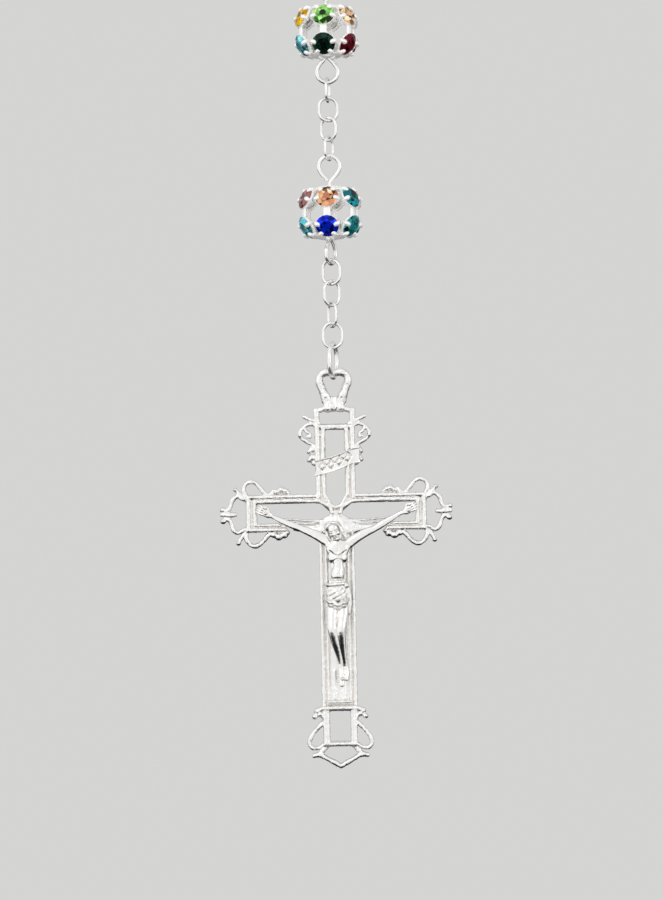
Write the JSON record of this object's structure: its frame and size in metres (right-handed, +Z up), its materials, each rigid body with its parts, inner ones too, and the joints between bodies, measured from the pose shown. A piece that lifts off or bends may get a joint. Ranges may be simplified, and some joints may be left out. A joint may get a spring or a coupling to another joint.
{
  "type": "rosary",
  "caption": "Silver-plated rosary with rhinestone ball beads on a link chain, a filigree crucifix and a round centre medal, hung over a rail.",
  "frame": {"origin": "middle of the axis of the rail that the rosary hangs over", "axes": "+Z up, the crucifix faces -Y, the rail runs along X"},
  "size_m": [0.0302, 0.0354, 0.4248],
  "materials": {
    "cast_silver": "bright silver plate over a cast relief, slightly rough in the grooves",
    "wire_silver": "polished silver-plated wire",
    "bead_cage": "bright silver plate, stamped and cast claws",
    "rhinestones": "faceted glass rhinestones in many colours, foiled behind"
  },
  "bodies": {
    "drape": {"drape_cages": "bead_cage", "drape_stones": "rhinestones", "drape_wires": "wire_silver"},
    "centre_medal": {"centre_medal": "cast_silver"},
    "link_5_4": {"link_5_4": "wire_silver"},
    "link_5_3": {"link_5_3": "wire_silver"},
    "link_5_2": {"link_5_2": "wire_silver"},
    "link_5_1": {"link_5_1": "wire_silver"},
    "tail_pin_5": {"tail_bead_5_pin": "wire_silver"},
    "tail_bead_5": {"tail_bead_5_cage": "bead_cage", "tail_bead_5_stones": "rhinestones"},
    "link_4_4": {"link_4_4": "wire_silver"},
    "link_4_3": {"link_4_3": "wire_silver"},
    "link_4_2": {"link_4_2": "wire_silver"},
    "link_4_1": {"link_4_1": "wire_silver"},
    "tail_pin_4": {"tail_bead_4_pin": "wire_silver"},
    "tail_bead_4": {"tail_bead_4_cage": "bead_cage", "tail_bead_4_stones": "rhinestones"},
    "link_3_2": {"link_3_2": "wire_silver"},
    "link_3_1": {"link_3_1": "wire_silver"},
    "tail_pin_3": {"tail_bead_3_pin": "wire_silver"},
    "tail_bead_3": {"tail_bead_3_cage": "bead_cage", "tail_bead_3_stones": "rhinestones"},
    "link_2_2": {"link_2_2": "wire_silver"},
    "link_2_1": {"link_2_1": "wire_silver"},
    "tail_pin_2": {"tail_bead_2_pin": "wire_silver"},
    "tail_bead_2": {"tail_bead_2_cage": "bead_cage", "tail_bead_2_stones": "rhinestones"},
    "link_1_4": {"link_1_4": "wire_silver"},
    "link_1_3": {"link_1_3": "wire_silver"},
    "link_1_2": {"link_1_2": "wire_silver"},
    "link_1_1": {"link_1_1": "wire_silver"},
    "tail_pin_1": {"tail_bead_1_pin": "wire_silver"},
    "tail_bead_1": {"tail_bead_1_cage": "bead_cage", "tail_bead_1_stones": "rhinestones"},
    "link_0_4": {"link_0_4": "wire_silver"},
    "link_0_3": {"link_0_3": "wire_silver"},
    "link_0_2": {"link_0_2": "wire_silver"},
    "link_0_1": {"link_0_1": "wire_silver"},
    "crucifix_ring": {"crucifix_ring": "wire_silver"},
    "crucifix": {"crucifix_frame": "cast_silver", "corpus": "cast_silver", "title_scroll": "cast_silver", "corpus_rivets": "cast_silver"},
    "front_upper": {"front_upper_cages": "bead_cage", "front_upper_stones": "rhinestones", "front_upper_wires": "wire_silver"},
    "front_lower": {"front_lower_cages": "bead_cage", "front_lower_stones": "rhinestones", "front_lower_wires": "wire_silver"},
    "rear_upper": {"rear_upper_cages": "bead_cage", "rear_upper_stones": "rhinestones", "rear_upper_wires": "wire_silver"},
    "rear_lower": {"rear_lower_cages": "bead_cage", "rear_lower_stones": "rhinestones", "rear_lower_wires": "wire_silver"}
  },
  "joints": [
    {"name": "front_upper_swing", "type": "hinge", "parent": "drape", "child": "front_upper", "pos_m": [0, -0.01377, 0.00023], "axis": [1, 0, 0], "range_deg": [-25, 3]},
    {"name": "front_lower_swing", "type": "hinge", "parent": "front_upper", "child": "front_lower", "pos_m": [0, -0.01377, -0.12072], "axis": [-1, 0, 0], "range_deg": [-3, 35]},
    {"name": "centre_swing", "type": "hinge", "parent": "front_lower", "child": "centre_medal", "pos_m": [0, -0.01377, -0.21813], "axis": [1, 0, 0], "range_deg": [-40, 15]},
    {"name": "link_5_4_swing", "type": "hinge", "parent": "centre_medal", "child": "link_5_4", "pos_m": [0, -0.01377, -0.23689], "axis": [1, 0, 0], "range_deg": [-45, 30]},
    {"name": "link_5_3_swing", "type": "hinge", "parent": "link_5_4", "child": "link_5_3", "pos_m": [0, -0.01377, -0.23926], "axis": [0, 1, 0], "range_deg": [-45, 45]},
    {"name": "link_5_2_swing", "type": "hinge", "parent": "link_5_3", "child": "link_5_2", "pos_m": [0, -0.01377, -0.24178], "axis": [-0.9397, -0.342, 0], "range_deg": [-45, 45]},
    {"name": "link_5_1_swing", "type": "hinge", "parent": "link_5_2", "child": "link_5_1", "pos_m": [0, -0.01377, -0.2443], "axis": [-0.766, 0.6428, 0], "range_deg": [-45, 45]},
    {"name": "tail_pin_5_swing", "type": "hinge", "parent": "link_5_1", "child": "tail_pin_5", "pos_m": [0, -0.01377, -0.24682], "axis": [0.866, 0.5, 0], "range_deg": [-45, 45]},
    {"name": "link_4_4_swing", "type": "hinge", "parent": "tail_pin_5", "child": "link_4_4", "pos_m": [0, -0.01377, -0.26034], "axis": [0, 1, 0], "range_deg": [-45, 45]},
    {"name": "link_4_3_swing", "type": "hinge", "parent": "link_4_4", "child": "link_4_3", "pos_m": [0, -0.01377, -0.26279], "axis": [-0.9659, 0.2588, 0], "range_deg": [-45, 45]},
    {"name": "link_4_2_swing", "type": "hinge", "parent": "link_4_3", "child": "link_4_2", "pos_m": [0, -0.01377, -0.26531], "axis": [-0.5736, -0.8192, 0], "range_deg": [-45, 45]},
    {"name": "link_4_1_swing", "type": "hinge", "parent": "link_4_2", "child": "link_4_1", "pos_m": [0, -0.01377, -0.26783], "axis": [0.8192, -0.5736, 0], "range_deg": [-45, 45]},
    {"name": "tail_pin_4_swing", "type": "hinge", "parent": "link_4_1", "child": "tail_pin_4", "pos_m": [0, -0.01377, -0.27035], "axis": [0.6428, 0.766, 0], "range_deg": [-45, 45]},
    {"name": "link_3_2_swing", "type": "hinge", "parent": "tail_pin_4", "child": "link_3_2", "pos_m": [0, -0.01377, -0.28387], "axis": [-0.766, -0.6428, 0], "range_deg": [-45, 45]},
    {"name": "link_3_1_swing", "type": "hinge", "parent": "link_3_2", "child": "link_3_1", "pos_m": [0, -0.01377, -0.28632], "axis": [-0.6428, 0.766, 0], "range_deg": [-45, 45]},
    {"name": "tail_pin_3_swing", "type": "hinge", "parent": "link_3_1", "child": "tail_pin_3", "pos_m": [0, -0.01377, -0.28884], "axis": [0.866, 0.5, 0], "range_deg": [-45, 45]},
    {"name": "link_2_2_swing", "type": "hinge", "parent": "tail_pin_3", "child": "link_2_2", "pos_m": [0, -0.01377, -0.30236], "axis": [0, 1, 0], "range_deg": [-45, 45]},
    {"name": "link_2_1_swing", "type": "hinge", "parent": "link_2_2", "child": "link_2_1", "pos_m": [0, -0.01377, -0.30481], "axis": [-0.766, 0.6428, 0], "range_deg": [-45, 45]},
    {"name": "tail_pin_2_swing", "type": "hinge", "parent": "link_2_1", "child": "tail_pin_2", "pos_m": [0, -0.01377, -0.30733], "axis": [-0.5736, -0.8192, 0], "range_deg": [-45, 45]},
    {"name": "link_1_4_swing", "type": "hinge", "parent": "tail_pin_2", "child": "link_1_4", "pos_m": [0, -0.01377, -0.32086], "axis": [1, 0, 0], "range_deg": [-45, 45]},
    {"name": "link_1_3_swing", "type": "hinge", "parent": "link_1_4", "child": "link_1_3", "pos_m": [0, -0.01377, -0.3233], "axis": [0.1736, 0.9848, 0], "range_deg": [-45, 45]},
    {"name": "link_1_2_swing", "type": "hinge", "parent": "link_1_3", "child": "link_1_2", "pos_m": [0, -0.01377, -0.32582], "axis": [-0.9848, -0.1736, 0], "range_deg": [-45, 45]},
    {"name": "link_1_1_swing", "type": "hinge", "parent": "link_1_2", "child": "link_1_1", "pos_m": [0, -0.01377, -0.32834], "axis": [-0.766, 0.6428, 0], "range_deg": [-45, 45]},
    {"name": "tail_pin_1_swing", "type": "hinge", "parent": "link_1_1", "child": "tail_pin_1", "pos_m": [0, -0.01377, -0.33086], "axis": [0.4067, 0.9135, 0], "range_deg": [-45, 45]},
    {"name": "link_0_4_swing", "type": "hinge", "parent": "tail_pin_1", "child": "link_0_4", "pos_m": [0, -0.01377, -0.34438], "axis": [0.454, 0.891, 0], "range_deg": [-45, 45]},
    {"name": "link_0_3_swing", "type": "hinge", "parent": "link_0_4", "child": "link_0_3", "pos_m": [0, -0.01377, -0.34706], "axis": [-0.9063, 0.4226, 0], "range_deg": [-45, 45]},
    {"name": "link_0_2_swing", "type": "hinge", "parent": "link_0_3", "child": "link_0_2", "pos_m": [0, -0.01377, -0.34981], "axis": [-0.788, -0.6157, 0], "range_deg": [-45, 45]},
    {"name": "link_0_1_swing", "type": "hinge", "parent": "link_0_2", "child": "link_0_1", "pos_m": [0, -0.01377, -0.35256], "axis": [0.4067, -0.9135, 0], "range_deg": [-45, 45]},
    {"name": "crucifix_ring_swing", "type": "hinge", "parent": "link_0_1", "child": "crucifix_ring", "pos_m": [0, -0.01377, -0.35531], "axis": [1, 0, 0], "range_deg": [-45, 45]},
    {"name": "crucifix_swing", "type": "hinge", "parent": "crucifix_ring", "child": "crucifix", "pos_m": [0, -0.01377, -0.35918], "axis": [-0.225, -0.9744, 0], "range_deg": [-40, 40]},
    {"name": "tail_bead_1_spin", "type": "hinge", "parent": "tail_pin_1", "child": "tail_bead_1", "pos_m": [0, -0.01377, -0.33736], "axis": [0, 0, 1], "continuous": true},
    {"name": "tail_bead_2_spin", "type": "hinge", "parent": "tail_pin_2", "child": "tail_bead_2", "pos_m": [0, -0.01377, -0.31383], "axis": [0, 0, 1], "continuous": true},
    {"name": "tail_bead_3_spin", "type": "hinge", "parent": "tail_pin_3", "child": "tail_bead_3", "pos_m": [0, -0.01377, -0.29534], "axis": [0, 0, 1], "continuous": true},
    {"name": "tail_bead_4_spin", "type": "hinge", "parent": "tail_pin_4", "child": "tail_bead_4", "pos_m": [0, -0.01377, -0.27685], "axis": [0, 0, 1], "continuous": true},
    {"name": "tail_bead_5_spin", "type": "hinge", "parent": "tail_pin_5", "child": "tail_bead_5", "pos_m": [0, -0.01377, -0.25332], "axis": [0, 0, 1], "continuous": true},
    {"name": "rear_upper_swing", "type": "hinge", "parent": "drape", "child": "rear_upper", "pos_m": [0, 0.01377, -0.00023], "axis": [1, 0, 0], "range_deg": [-3, 25]},
    {"name": "rear_lower_swing", "type": "hinge", "parent": "rear_upper", "child": "rear_lower", "pos_m": [0, 0.01377, -0.09268], "axis": [-1, 0, 0], "range_deg": [-35, 3]}
  ]
}
